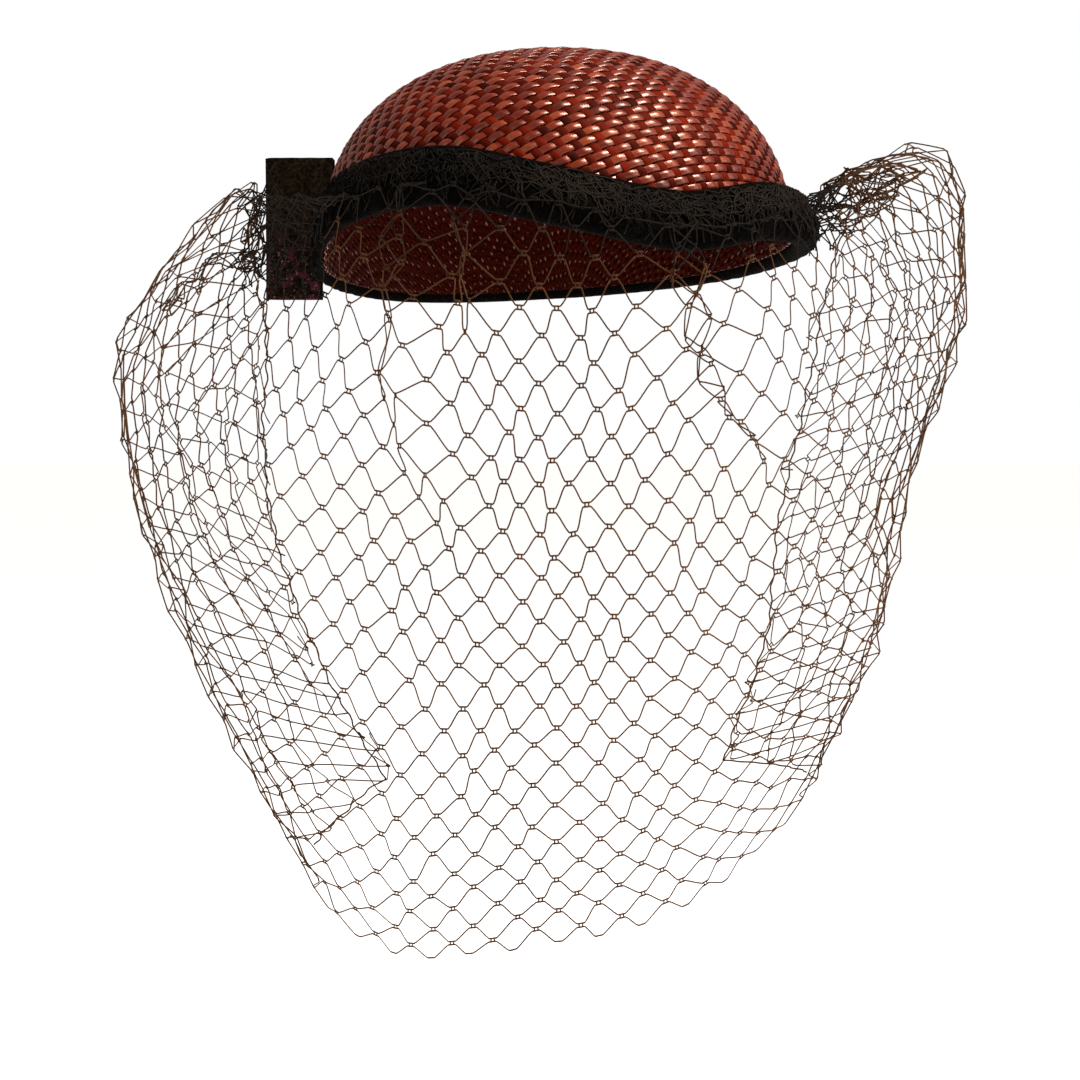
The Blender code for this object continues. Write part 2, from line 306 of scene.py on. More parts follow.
def curved(table, column, place):
    """Read a column of a table by a smooth curve through its rows."""
    knots, values = table[:, 0], table[:, column]
    last = len(knots) - 1
    high = np.minimum(np.arange(len(knots)) + 1, last)
    low = np.maximum(np.arange(len(knots)) - 1, 0)
    slopes = (values[high] - values[low]) / (knots[high] - knots[low])
    place = np.clip(place, knots[0], knots[-1])
    row = np.clip(np.searchsorted(knots, place, side="left") - 1, 0, last - 1)
    span = knots[row + 1] - knots[row]
    t = (place - knots[row]) / span
    return ((2 * t ** 3 - 3 * t ** 2 + 1) * values[row]
            + (t ** 3 - 2 * t ** 2 + t) * span * slopes[row]
            + (3 * t ** 2 - 2 * t ** 3) * values[row + 1]
            + (t ** 3 - t ** 2) * span * slopes[row + 1])


def wrapped(azimuth):
    """Bring azimuths between -180 and 180 degrees."""
    return (np.asarray(azimuth, float) + 180.0) % 360.0 - 180.0


def edge_height(azimuth):
    """Height of the band's lower edge."""
    return BAND_SWING * curved(EDGE_LINE, 1, wrapped(azimuth))


def band_thickness(azimuth):
    """How far the band stands out from the crown."""
    return BAND_THICKNESS * curved(BAND_FULLNESS, 1, wrapped(azimuth))


def azimuth_of(point):
    """The azimuth of points, in degrees, by the crown's own oval."""
    return np.degrees(np.arctan2(point[..., 1] / HALF_LENGTH, point[..., 0] / HALF_WIDTH))


def waves(table, azimuth, fall):
    """The sum of a table's waves over the veil."""
    return sum(size * np.sin(azimuth * by_turn + fall * by_fall) for size, by_turn, by_fall in table)


def unit(vectors):
    """Vectors of length 1."""
    return vectors / np.maximum(np.linalg.norm(vectors, axis=-1, keepdims=True), 1e-12)


def grid_faces(rows, columns, closed=False, flipped=False):
    """Quads over a grid whose columns close into a ring, and whose rows may close too."""
    row = np.arange(rows if closed else rows - 1)[:, None]
    step = np.arange(columns)[None, :]
    other = (step + 1) % columns
    base = row * columns
    after = (row + 1) % rows * columns
    corners = [base + step, base + other, after + other, after + step]
    if flipped:
        corners = [corners[0], corners[3], corners[2], corners[1]]
    return np.stack(corners, axis=-1).reshape(-1, 4)


def add_mesh(name, points, faces, finish, tone=None, uv=None):
    """A mesh object from arrays, with a tone for each point and a place on the cloth."""
    mesh = bpy.data.meshes.new(name)
    mesh.from_pydata(points.tolist(), [], faces.tolist())
    mesh.materials.append(finish)
    if tone is not None:
        mesh.attributes.new("tone", "FLOAT", "POINT").data.foreach_set("value", tone.ravel())
    if uv is not None:
        layer = mesh.uv_layers.new(name="cloth")
        corners = np.empty(len(mesh.loops), int)
        mesh.loops.foreach_get("vertex_index", corners)
        layer.data.foreach_set("uv", uv[corners].ravel())
    mesh.shade_smooth()
    item = bpy.data.objects.new(name, mesh)
    bpy.context.scene.collection.objects.link(item)
    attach(item, "root")
    return item


def tubes(lines, radius, reference):
    """Closed four-sided tubes along many lines at once: lines is (lines, points, 3)."""
    tangent = unit(np.gradient(lines, axis=1))
    side = unit(np.cross(tangent, reference[:, None, :]))
    up = np.cross(side, tangent)
    rings = np.stack([lines + radius * side, lines + radius * up,
                      lines - radius * side, lines - radius * up], axis=2)
    count, steps = lines.shape[:2]
    first = np.arange(count)[:, None] * steps * TUBE_SIDES
    walls = first[:, None] + grid_faces(steps, TUBE_SIDES)[None]
    near = first + np.array([3, 2, 1, 0])
    far = first + (steps - 1) * TUBE_SIDES + np.arange(TUBE_SIDES)
    faces = np.concatenate([walls.reshape(-1, 4), near, far])
    return rings.reshape(-1, 3), faces


def joined(parts):
    """Several (points, faces) as one."""
    points, faces, base = [], [], 0
    for some_points, some_faces in parts:
        points.append(some_points)
        faces.append(some_faces + base)
        base += len(some_points)
    return np.concatenate(points), np.concatenate(faces)


class Nodes:
    """Short hand for a material's node tree."""

    def __init__(self, name):
        self.material = bpy.data.materials.new(name)
        self.material.use_nodes = True
        self.tree = self.material.node_tree
        self.shader = self.tree.nodes["Principled BSDF"]

    def add(self, kind, **values):
        node = self.tree.nodes.new(kind)
        for key, value in values.items():
            setattr(node, key, value)
        return node

    def link(self, source, target):
        self.tree.links.new(source, target)

    def set(self, **values):
        for key, value in values.items():
            self.shader.inputs[key.replace("_", " ")].default_value = value

    def ramp(self, source, stops):
        node = self.add("ShaderNodeValToRGB")
        while len(node.color_ramp.elements) < len(stops):
            node.color_ramp.elements.new(0.5)
        for element, (place, colour) in zip(node.color_ramp.elements, stops):
            element.position = place
            element.color = (*colour, 1.0)
        self.link(source, node.inputs["Fac"])
        return node.outputs["Color"]

    def noise(self, scale, detail=3.0, stretch=None, source="Object", rough=0.5):
        where = self.add("ShaderNodeTexCoord").outputs[source]
        if stretch is not None:
            mapping = self.add("ShaderNodeMapping")
            mapping.inputs["Scale"].default_value = stretch
            self.link(where, mapping.inputs["Vector"])
            where = mapping.outputs["Vector"]
        node = self.add("ShaderNodeTexNoise")
        node.inputs["Scale"].default_value = scale
        node.inputs["Detail"].default_value = detail
        node.inputs["Roughness"].default_value = rough
        self.link(where, node.inputs["Vector"])
        return node.outputs["Fac"]

    def bump(self, height, strength, distance):
        node = self.add("ShaderNodeBump")
        node.inputs["Strength"].default_value = strength
        node.inputs["Distance"].default_value = distance
        self.link(height, node.inputs["Height"])
        self.link(node.outputs["Normal"], self.shader.inputs["Normal"])


def mixed(nodes, kind, factor, a, b):
    """A colour mix of two sockets."""
    node = nodes.add("ShaderNodeMix", data_type="RGBA", blend_type=kind)
    if isinstance(factor, float):
        node.inputs["Factor"].default_value = factor
    else:
        nodes.link(factor, node.inputs["Factor"])
    for socket, value in ((node.inputs[6], a), (node.inputs[7], b)):
        if isinstance(value, tuple):
            socket.default_value = (*value, 1.0)
        else:
            nodes.link(value, socket)
    return node.outputs[2]


def noise_mask(nodes, scale, detail, low, high, mask):
    """Spots of noise, kept to where a mask is white."""
    spots = nodes.ramp(nodes.noise(scale, detail), ((low, (0.0, 0.0, 0.0)), (high, (1.0, 1.0, 1.0))))
    amount = nodes.add("ShaderNodeMath", operation="MULTIPLY")
    nodes.link(spots, amount.inputs[0])
    nodes.link(mask, amount.inputs[1])
    return amount.outputs["Value"]


def straw_material(name, rough, coat, metal, gloss):
    """Straw from deep red brown to copper, with fibres along each strip."""
    nodes = Nodes(name)
    tone = nodes.add("ShaderNodeAttribute", attribute_name="tone").outputs["Fac"]
    base = nodes.ramp(tone, STRAW_TONES)
    fibre = nodes.noise(1.0, 3.0, (180.0, 3800.0, 1.0), "UV")
    streak = nodes.ramp(fibre, ((0.3, (0.5, 0.45, 0.45)), (0.7, (1.3, 1.25, 1.2))))
    colour = mixed(nodes, "MULTIPLY", 1.0, base, streak)
    nodes.link(colour, nodes.shader.inputs["Base Color"])
    nodes.set(Roughness=rough, Metallic=metal, Coat_Weight=coat, Coat_Roughness=0.25,
              Specular_IOR_Level=gloss, Specular_Tint=STRAW_TINT)
    nodes.bump(fibre, 0.4, 0.0002)
    return nodes.material


def velvet_material(name, low, high, sheen, sheen_and_glints=None):
    """Black pile with a soft sheen. Where given, a purple colour painted as sheen, a colour for tiny
    painted glints, and the heights between which both fade in towards the bottom."""
    nodes = Nodes(name)
    pile = nodes.noise(900.0, 4.0)
    patch = nodes.noise(60.0, 3.0)
    base = nodes.ramp(pile, ((0.35, low), (0.7, high)))
    shade = nodes.ramp(patch, ((0.3, (0.6, 0.6, 0.6)), (0.7, (1.5, 1.5, 1.5))))
    colour = mixed(nodes, "MULTIPLY", 1.0, base, shade)
    if sheen_and_glints is not None:
        second, glint_colour, top, bottom = sheen_and_glints
        place = nodes.add("ShaderNodeSeparateXYZ")
        nodes.link(nodes.add("ShaderNodeTexCoord").outputs["Object"], place.inputs["Vector"])
        sheen_fade = nodes.add("ShaderNodeMapRange")
        nodes.link(place.outputs["Z"], sheen_fade.inputs["Value"])
        sheen_fade.inputs["From Min"].default_value = top
        sheen_fade.inputs["From Max"].default_value = bottom
        mask = sheen_fade.outputs["Result"]
        # Painted purple sheen in noisy patches towards the bottom
        colour = mixed(nodes, "MIX", noise_mask(nodes, 230.0, 2.0, 0.50, 0.62, mask), colour, second)
        # Tiny pale painted glints, kept to the same lower part
        colour = mixed(nodes, "MIX", noise_mask(nodes, 1100.0, 0.0, 0.70, 0.78, mask), colour, glint_colour)
    nodes.link(colour, nodes.shader.inputs["Base Color"])
    nodes.set(Roughness=0.9, Sheen_Weight=sheen, Sheen_Roughness=0.35,
              Sheen_Tint=(0.40, 0.30, 0.26, 1.0), Specular_IOR_Level=0.01)
    nodes.bump(pile, 0.6, 0.0005)
    return nodes.material


def thread_material(name, dark, low, high):
    """Brown net thread: darker where it is gathered, over the band and before the loop, as painted shade;
    a little lighter here and there.
    """
    nodes = Nodes(name)
    patch = nodes.noise(40.0, 2.0)
    base = nodes.ramp(patch, ((0.3, low), (0.7, high)))
    tone = nodes.add("ShaderNodeAttribute", attribute_name="tone").outputs["Fac"]
    nodes.link(mixed(nodes, "MIX", tone, dark, base), nodes.shader.inputs["Base Color"])
    nodes.set(Roughness=0.7, Specular_IOR_Level=0.08)
    return nodes.material


def on_dome(direction, lift):
    """The dome's place in a direction of a unit ball, lifted along its normal."""
    level = direction[..., 2]
    flat = np.hypot(direction[..., 0], direction[..., 1])
    east = direction[..., 0] / np.maximum(flat, 1e-9)
    north = direction[..., 1] / np.maximum(flat, 1e-9)
    above = np.maximum(level, 0.0)
    share = np.where(level > 0.0, flat, 1.0) ** (ROUNDNESS_POWER / SHOULDER_POWER)
    height = RISE * np.where(level > 0.0, level, np.arcsin(np.clip(level, -1.0, 1.0)))
    slope = SHOULDER_POWER * share ** (SHOULDER_POWER - 1.0)
    normal = unit(np.stack([slope * east / HALF_WIDTH, slope * north / HALF_LENGTH,
                            ROUNDNESS_POWER * above / RISE], axis=-1))
    point = np.stack([HALF_WIDTH * share * east, HALF_LENGTH * share * north, SEAT + height], axis=-1)
    return point + normal * lift[..., None]


def cloth_direction(plan):
    """Flat cloth laid on a unit ball, with its middle tilted towards the front."""
    distance = np.hypot(plan[..., 0], plan[..., 1])
    angle = distance / CLOTH_RADIUS
    east = np.sin(angle) * plan[..., 0] / np.maximum(distance, 1e-9)
    north = np.sin(angle) * plan[..., 1] / np.maximum(distance, 1e-9)
    up = np.cos(angle)
    return np.stack([east, north * math.cos(CLOTH_TILT) - up * math.sin(CLOTH_TILT),
                     north * math.sin(CLOTH_TILT) + up * math.cos(CLOTH_TILT)], axis=-1)


def flared(point):
    """Open the part of the crown that the band hides, so that the two meet."""
    depth = edge_height(azimuth_of(point)) + FLARE_LEVEL * BAND_HEIGHT - point[..., 2]
    share = FLARE / HALF_WIDTH * smooth(depth / FLARE_BLEND)
    return point * (1.0 + share[..., None] * np.array([1.0, 1.0, 0.0]))


def weave_strips(along, across, pitch, other_pitch, is_warp, seed):
    """One family of straw strips over the dome, woven one over and one under."""
    dice = np.random.RandomState(seed)
    perpendicular = np.array([-along[1], along[0]])
    lean = abs(float(across @ perpendicular))
    reach = CLOTH_RADIUS * (math.pi / 2.0 + CLOTH_TILT + SKIRT)
    section, edge_shade = STRIP_SECTION[:, :2], STRIP_SECTION[:, 2]
    sides = len(section)
    half = pitch * (WARP_FILL if is_warp else WEFT_FILL) / 2.0
    cells = int(reach / other_pitch)
    strips = int(reach / pitch)
    steps = np.arange(-CELL_STEPS * cells, CELL_STEPS * cells + 1)
    places = steps / CELL_STEPS
    cell = np.floor(places).astype(int)
    arch = np.clip(ARCH_GAIN * np.sin(math.pi * (places - cell)), 0.0, 1.0)
    parts, tones, cloths = [], [], []
    for strip in range(-strips, strips + 1):
        middle = across * (strip + 0.5) * pitch / lean
        line = middle + along[None, :] * (places * other_pitch / lean)[:, None]
        over = np.where((cell + strip) % 2 == 0, 1.0, -1.0) * (1.0 if is_warp else -1.0)
        height = over * arch - (0.0 if is_warp else WEFT_SINK)
        ring = line[:, None, :] + perpendicular * (section[:, 0] * half)[None, :, None]
        tilt = dice.uniform(-STRAW_TILT, STRAW_TILT, 2 * cells + 1)[cell + cells]
        high = (STRAW_LIFT * height - STRAW_BACK)[:, None] + section[:, 1] + tilt[:, None] * section[:, 0]
        points = flared(on_dome(cloth_direction(ring), high))
        spine = points[:, 2]
        lowest = edge_height(azimuth_of(spine)) + CROWN_TUCK
        kept = (spine[:, 2] > lowest - CROWN_TUCK) & (np.hypot(line[:, 0], line[:, 1]) < reach)
        points[..., 2] = np.maximum(points[..., 2], lowest[:, None])
        if kept.sum() < 3:
            continue
        first = int(np.argmax(kept))
        last = len(kept) - int(np.argmax(kept[::-1]))
        points = points[first:last]
        count = len(points)
        parts.append((points.reshape(-1, 3), grid_faces(count, sides)))
        # The weft's darker range is painted shade on the sunken strips
        flow = dice.uniform(*(WARP_TONE if is_warp else WEFT_SHADED_TONE))
        float_tone = dice.uniform(-FLOAT_TONE, FLOAT_TONE, 2 * cells + 1)[cell + cells]
        bright = np.clip(flow + float_tone, 0.0, 1.0)[first:last]
        # Each float's tone times the section's share: painted shade at the strip's edges and underside
        tones.append((bright[:, None] * edge_shade).ravel())
        cloths.append(np.stack([np.repeat(places[first:last] * other_pitch, sides) + strip * FIBRE_SHIFT,
                                np.tile(section[:, 0] * half, count) + strip * pitch], axis=-1))
    points, faces = joined(parts)
    return points, faces, np.concatenate(tones), np.concatenate(cloths)


def make_crown():
    """The woven straw dome: two families of strips over a dark ground, whose near-black tone is painted
    shade in the gaps.
    """
    glazed = straw_material("straw_glazed", 0.27, 0.32, 0.05, 0.50)
    dull = straw_material("straw_dull", 0.65, 0.0, 0.1, 0.05)
    warp = np.array([math.cos(WARP_ANGLE), math.sin(WARP_ANGLE)])
    weft = np.array([math.cos(WEFT_ANGLE), math.sin(WEFT_ANGLE)])
    for name, along, across, pitch, other, is_warp, seed, finish in (
            ("straw_warp", warp, weft, WARP_PITCH, WEFT_PITCH, True, 3, glazed),
            ("straw_weft", weft, warp, WEFT_PITCH, WARP_PITCH, False, 4, dull)):
        points, faces, tone, cloth = weave_strips(along, across, pitch, other, is_warp, seed)
        item = add_mesh(name, points, faces, finish, tone, cloth)
    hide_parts("crown")
    make_ground(dull)


def make_ground(finish):
    """The dark shell that closes the gaps between the strips, with a near-black tone as painted shade."""
    turns, rings = 128, 44
    azimuth = np.linspace(-180.0, 180.0, turns, endpoint=False)
    fall = np.linspace(0.0, math.pi / 2.0 + SKIRT, rings)[:, None]
    turned = np.radians(azimuth)[None, :]
    direction = np.stack([np.sin(fall) * np.cos(turned), np.sin(fall) * np.sin(turned),
                          np.cos(fall) + 0.0 * turned], axis=-1)
    point = flared(on_dome(direction, np.full((rings, turns), -STRAW_BACK - GROUND_GAP)))
    lowest = edge_height(azimuth)[None, :] + CROWN_TUCK
    point[..., 2] = np.maximum(point[..., 2], lowest)
    points = point.reshape(-1, 3)
    ground = add_mesh("straw_ground", points, grid_faces(rings, turns, flipped=True), finish,
                      np.full(len(points), GROUND_SHADE_TONE), direction.reshape(-1, 3)[:, :2] * CLOTH_RADIUS)


def band_skin(azimuth, out, up, lift=0.0):
    """A point on the band's skin, lifted out from it."""
    thick = CLEARANCE + band_thickness(azimuth) * out
    angle = np.radians(azimuth)
    return np.stack([(HALF_WIDTH + thick + lift) * np.cos(angle),
                     (HALF_LENGTH + thick + lift) * np.sin(angle),
                     edge_height(azimuth) + BAND_HEIGHT * up], axis=-1)


def section_at(place):
    """The band's rounded section by a share of the way round it."""
    closed = np.vstack([BAND_SECTION, BAND_SECTION[:1]])
    steps = np.hypot(np.diff(closed[:, 0]) * BAND_THICKNESS, np.diff(closed[:, 1]) * BAND_HEIGHT)
    along = np.concatenate([[0.0], np.cumsum(steps)])
    along /= along[-1]
    rows = np.column_stack([along, closed])
    return curved(rows, 1, place), curved(rows, 2, place)


def make_band():
    """The rolled velvet edge."""
    round_count, section_count = 420, 36
    azimuth = np.linspace(-180.0, 180.0, round_count, endpoint=False)
    place = np.linspace(0.0, 1.0, section_count, endpoint=False)
    out, up = section_at(place)
    dice = np.random.RandomState(11)
    lumps = np.zeros((round_count, section_count))
    for _ in range(BAND_LUMPS):
        turns = dice.randint(12, 120)
        swing = dice.uniform(0.00008, 0.00022)
        along = np.sin(np.radians(azimuth) * turns + dice.uniform(0, 6.3))
        across = np.cos(2 * math.pi * place * dice.randint(1, 4) + dice.uniform(0, 6.3))
        lumps += swing * along[:, None] * across[None, :]
    outer = smooth((out - 0.1) / 0.4)[None, :]
    grid_out, grid_azimuth = np.meshgrid(out, azimuth)
    grid_up, _ = np.meshgrid(up, azimuth)
    points = band_skin(grid_azimuth, grid_out, grid_up, np.minimum(lumps, LUMP_LIMIT) * outer)
    faces = grid_faces(round_count, section_count, closed=True)
    finish = velvet_material("velvet", (0.0006, 0.0005, 0.0005), (0.0030, 0.0024, 0.0020), 0.004)
    item = add_mesh("velvet_band", points.reshape(-1, 3), faces, finish)
    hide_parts("band")


def loop_plan(depth, outer_end, inner_end, count):
    """Plan of one face of the ribbon loop, from its inner end round the fold and back."""
    radius = depth / 2.0
    middle = (LOOP_LOW[1] + LOOP_HIGH[1]) / 2.0
    bend = np.radians(np.linspace(-90.0, -270.0, count))
    fold_x = outer_end + radius + radius * np.cos(bend)
    fold_y = middle + radius * np.sin(bend)
    run = np.linspace(inner_end, outer_end + radius, count)[:-1]
    x = np.concatenate([run, fold_x, run[::-1]])
    y = np.concatenate([np.full(len(run), middle - radius), fold_y, np.full(len(run), middle + radius)])
    return x, y


def make_side_loop():
    """The velvet ribbon loop, a folded band with a soft bow in its faces."""
    rows, count = 28, 14
    height = LOOP_HIGH[2] - LOOP_LOW[2]
    depth = LOOP_HIGH[1] - LOOP_LOW[1] - LOOP_BOW
    rings = []
    for inset, heights in ((0.0, np.linspace(1.0, 0.0, rows)), (LOOP_WALL, np.linspace(0.0, 1.0, rows))):
        for share in heights:
            z = LOOP_LOW[2] + height * share
            inner_end = LOOP_HIGH[0] - LOOP_GAP + LOOP_TUCK * smooth((z - LOOP_TUCK_LEVEL) / 0.004)
            x, y = loop_plan(depth - 2 * inset, LOOP_LOW[0] + inset, inner_end, count)
            bow = LOOP_BOW * math.sin(math.pi * share)
            side = np.sign(y - (LOOP_LOW[1] + LOOP_HIGH[1]) / 2.0)
            ripple = LOOP_RIPPLE * np.sin(x * 900.0 + share * 4.0)
            rings.append(np.stack([x, y - side * (bow + ripple), np.full(len(x), z)], axis=-1))
    points = np.array(rings)
    faces = grid_faces(*points.shape[:2], closed=True)
    low = float(LOOP_LOW[2])
    # A purple colour painted as sheen on the loop's lower part, with pale painted glints
    purple_sheen_and_glints = ((0.050, 0.010, 0.018), (0.075, 0.050, 0.056), low + PLUM_SHEEN_TOP, low + PLUM_SHEEN_BOTTOM)
    finish = velvet_material("ribbon", (0.0022, 0.0013, 0.0008), (0.0150, 0.0095, 0.0050), 0.012, purple_sheen_and_glints)
    item = add_mesh("ribbon_loop", points.reshape(-1, 3), faces, finish)
    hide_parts("side_loop")


def veil_hull(azimuth, fall):
    """The veil's form: a place by its azimuth and its fall, 0 at the gathers and 1 at the hem."""
    row = {name: curved(VEIL_ROWS, column, fall) for column, name in enumerate(VEIL_COLUMNS)}
    angle = np.radians(azimuth)
    east, north = np.cos(angle), np.sin(angle)
    right = east > 0.0
    stand = 2.0 * CLEARANCE + VEIL_WALL / 2.0 + band_thickness(azimuth)
    out = VEIL_REACH * np.where(right, row["right_out"], row["left_out"])
    ahead = VEIL_REACH * np.where(north < 0.0, row["front_out"], row["rear_out"])
    half_width = HALF_WIDTH + stand + out
    half_length = HALF_LENGTH + stand + ahead
    step_out = smooth((-azimuth - 180.0) / 4.0) * (1.0 - smooth(fall / CLUSTER_FALL))
    half_width = half_width + np.where(right, 0.0, VEIL_CLUSTER_REACH * step_out)
    side_drop = np.where(right, row["right_drop"], row["left_drop"])
    rear_drop = np.where(right, row["rear_right_drop"], row["rear_left_drop"])
    front_share = north ** 2
    drop = np.where(north < 0.0,
                    row["front_drop"] * front_share + side_drop * (1.0 - front_share),
                    rear_drop * 2.0 * front_share + side_drop * (1.0 - 2.0 * front_share))
    drop = drop + linear(HEM_LINE, 1, azimuth) * smooth((fall - HEM_FALL) / (1.0 - HEM_FALL))
    attached = edge_height(azimuth) + BAND_HEIGHT * linear(GATHER_LINE, 1, azimuth)
    height = attached + (VEIL_DROP * drop - attached) * smooth(fall / GATHER_FALL)
    return np.stack([half_width * east, half_length * north, height], axis=-1)


def rear_azimuth(fall, start, turn):
    """The azimuth of one of the veil's rear edges."""
    return start + turn * smooth(fall / REAR_TURN_FALL)


def hull_table():
    """The veil's form laid flat: azimuth and fall of many places, and where each lies flat."""
    azimuth = np.arange(TABLE_FROM, TABLE_TO, TABLE_TURN)[:, None]
    fall = np.linspace(0.0, 1.0, TABLE_FALLS + 1)[None, :]
    azimuth, fall = azimuth + 0.0 * fall, fall + 0.0 * azimuth
    point = veil_hull(azimuth, fall)
    step = np.diff(point, axis=0)
    along = np.cumsum(np.hypot(step[..., 0], DEPTH_SHARE * step[..., 1]), axis=0)
    along = np.vstack([np.zeros((1, fall.shape[1])), along])
    front = int(np.argmin(np.abs(azimuth[:, 0] - FRONT)))
    across = along - along[front]
    drop = np.linalg.norm(np.diff(point, axis=1), axis=-1)
    travel = np.hstack([np.zeros((len(azimuth), 1)), np.cumsum(drop, axis=1)])
    crest = np.argmax(point[..., 2], axis=1)
    index = np.arange(len(azimuth))
    over = (point[index, crest, 2] + travel[index, crest])[:, None] - travel
    height = np.where(np.arange(fall.shape[1])[None, :] < crest[:, None], over, point[..., 2])
    kept = (azimuth >= rear_azimuth(fall, REAR_LEFT, -REAR_TURN)) & (
        azimuth <= rear_azimuth(fall, REAR_RIGHT, REAR_TURN))
    return azimuth, fall, np.stack([across, height], axis=-1), kept


def thread_line(count):
    """Where a thread runs in the plane of the net, one knot after another from its middle."""
    place = np.arange(-count, count) + 0.5
    angle = np.radians(linear(THREAD_RUN, 1, place))
    side = 0.001 * linear(THREAD_RUN, 2, place)
    steps = side[:, None] * np.stack([np.cos(angle), -np.sin(angle)], axis=-1)
    line = np.vstack([np.zeros((1, 2)), np.cumsum(steps, axis=0)])
    return line - line[count]


def net_knots():
    """The net's knots on the veil's form: both families of threads keep to one curve."""
    rows = np.arange(-NET_TOP_ROWS, NET_HALF_ROWS + 1)[:, None]
    columns = np.arange(-NET_SIDE_COLUMNS, NET_SIDE_COLUMNS + 1)[None, :] + 0.5 * (rows % 2)
    one = (rows / 2.0 + columns).round().astype(int)
    two = (rows / 2.0 - columns).round().astype(int)
    count = NET_SIDE_COLUMNS + NET_HALF_ROWS
    line = thread_line(count)
    flat = line[one + count] + line[two + count] * np.array([-1.0, 1.0])
    start = veil_hull(np.array([FRONT]), np.array([0.0]))[0, 2]
    flat = flat + np.array([0.0, start])

    azimuth, fall, plane, kept = hull_table()
    edge = plane[kept[:, -1], -1]
    short = np.interp(flat[-1, :, 0], edge[:, 0], edge[:, 1]) - flat[-1, :, 1]
    per_knot = np.interp(flat[..., 0], flat[-1, :, 0], short)
    flat[..., 1] += per_knot * smooth((rows - HEM_FROM_ROW) / (NET_HALF_ROWS - HEM_FROM_ROW))
    places = np.argwhere(kept)
    spots = plane[kept]
    wanted = flat.reshape(-1, 2)
    nearest = np.empty(len(wanted), int)
    block = 200
    for first in range(0, len(wanted), block):
        some = wanted[first:first + block]
        apart = (some[:, None, 0] - spots[None, :, 0]) ** 2 + (some[:, None, 1] - spots[None, :, 1]) ** 2
        nearest[first:first + block] = apart.argmin(axis=1)
    miss = wanted - spots[nearest]
    inside = np.linalg.norm(miss, axis=-1) < KNOT_REACH
    i, j = places[nearest].T
    i = np.clip(i, 1, azimuth.shape[0] - 2)
    j = np.clip(j, 1, azimuth.shape[1] - 2)
    by_turn = (plane[i + 1, j] - plane[i - 1, j]) / (2.0 * TABLE_TURN)
    by_fall = (plane[i, j + 1] - plane[i, j - 1]) / (2.0 / TABLE_FALLS)
    spread = by_turn[:, 0] * by_fall[:, 1] - by_turn[:, 1] * by_fall[:, 0]
    spread = np.where(np.abs(spread) < 1e-7, 1e-7, spread)
    turn = (miss[:, 0] * by_fall[:, 1] - miss[:, 1] * by_fall[:, 0]) / spread
    slide = (by_turn[:, 0] * miss[:, 1] - by_turn[:, 1] * miss[:, 0]) / spread
    turn = np.where(inside, np.clip(turn, -1.0, 1.0), 0.0)
    slide = np.where(inside, np.clip(slide, -KNOT_SLIDE, KNOT_SLIDE), 0.0)
    azimuth = (azimuth[kept][nearest] + turn).reshape(one.shape)
    fall = np.clip(fall[kept][nearest] + slide, 0.0, 1.0).reshape(one.shape)
    return azimuth, fall, inside.reshape(one.shape)


def thread_pairs(real, inside):
    """The threads: each joins a knot to one of the two knots below it."""
    pairs = []
    for row, column in np.argwhere(real[:-1]):
        for shift, side in ((0, 1), (-1, -1)) if row % 2 == 0 else ((1, 1), (0, -1)):
            other = column + shift
            if not (0 <= other < real.shape[1] and real[row + 1, other]):
                continue
            if inside[row, column] or inside[row + 1, other]:
                pairs.append((row, column, row + 1, other, side))
    return np.array(pairs)


def folded(azimuth, fall, dice):
    """Draw the knots in towards the folds, so that the net doubles over there."""
    lift = np.zeros_like(azimuth)
    middle = azimuth.copy()
    for fold in NET_FOLDS:
        centre, down, half_width, pull = np.array(fold).T
        apart = middle - np.interp(fall, down, centre)
        near = np.exp(-(apart / np.interp(fall, down, half_width)) ** 2)
        pull = np.interp(fall, down, pull)
        azimuth = azimuth - pull * near * apart
        loose = near * np.minimum(pull, 1.0)
        azimuth = azimuth + FOLD_SCATTER * loose * dice.uniform(-1.0, 1.0, azimuth.shape)
        lift = lift + FOLD_LIFT * loose * dice.uniform(-0.3, 1.0, azimuth.shape)
    return azimuth, lift


def bunch_knots(columns, half_rows, path, seed):
    """The knots of one crumpled bunch beside the band, drawn together at its lower end."""
    dice = np.random.RandomState(seed)
    rows = np.arange(half_rows + 1)[:, None]
    across = (np.arange(columns + 1)[None, :] + 0.5 * (rows % 2)) / columns - 0.5
    real = across <= 0.5
    path = np.array(path, float)
    share = np.linspace(0.0, 1.0, len(path))
    down = np.linspace(0.0, 1.0, half_rows + 1)
    x, y, z, spread = (np.interp(down, share, column)[:, None] for column in path.T)
    loose = 1.0 - smooth((down - 0.80) / 0.20)[:, None]
    across = across * (0.08 + 0.92 * loose) + dice.normal(0.0, 0.08, real.shape) * loose
    z = z + 2.0 * spread * across
    point = 0.001 * np.stack([x + 0.0 * z, y + 0.0 * z, z], axis=-1)
    point = point + dice.normal(0.0, 1.0, real.shape + (3,)) * BUNCH_SCATTER
    outward = np.broadcast_to(np.array([0.0, -1.0, 0.0]), point.shape)
    # Its fall, low at the gather, only sets the threads' painted shade
    return point, outward, 0.03 + 0.15 * down[:, None] + 0.0 * z, real, real


